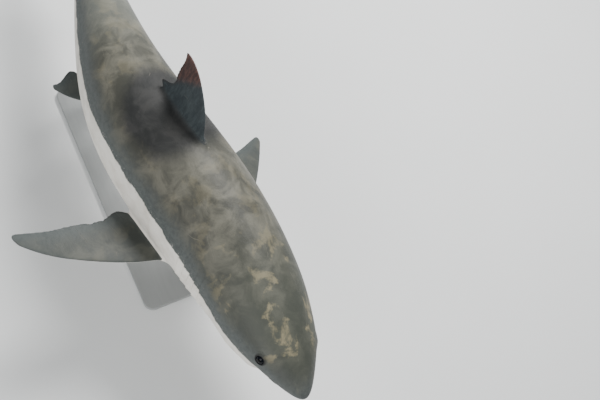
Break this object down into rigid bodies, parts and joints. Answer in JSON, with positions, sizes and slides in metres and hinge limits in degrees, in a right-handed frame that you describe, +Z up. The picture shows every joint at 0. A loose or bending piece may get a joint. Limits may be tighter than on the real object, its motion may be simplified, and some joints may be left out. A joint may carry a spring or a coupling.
{
  "type": "great white shark model",
  "caption": "Life-size great white shark with its mouth parted, banked into a gentle left turn and held by upright rods on a flat display base.",
  "frame": {"origin": "middle of the underside of the stand's base, on the floor", "axes": "+X ahead, the way the shark's nose points; +Y to the shark's left; +Z up"},
  "size_m": [3.9646, 1.7662, 1.6361],
  "materials": {
    "skin": "slate-brown back with darker mottling over a white belly, satin, fine denticle texture",
    "eye": "deep blue-black, wet gloss",
    "teeth": "ivory white, polished blades",
    "stand_board": "satin light grey lacquer",
    "stand_cradle": "matt black rubber",
    "stand_metal": "brushed"
  },
  "bodies": {
    "root": {"head": "skin", "lower_jaw": "skin", "eye_left": "eye", "eye_right": "eye", "gill_region": "skin", "trunk_front": "skin", "trunk_rear": "skin", "tail_base": "skin", "tail_stalk": "skin", "dorsal_fin_first": "skin", "dorsal_fin_second": "skin", "anal_fin": "skin", "pectoral_fin_left": "skin", "pectoral_fin_right": "skin", "pelvic_fin_left": "skin", "pelvic_fin_right": "skin", "caudal_fin_upper": "skin", "caudal_fin_lower": "skin", "stand_base": "stand_board", "stand_saddle_front": "stand_cradle", "stand_rod_front": "stand_metal", "stand_flange_front": "stand_metal", "stand_saddle_rear": "stand_cradle", "stand_rod_rear": "stand_metal", "stand_flange_rear": "stand_metal"}
  },
  "joints": []
}
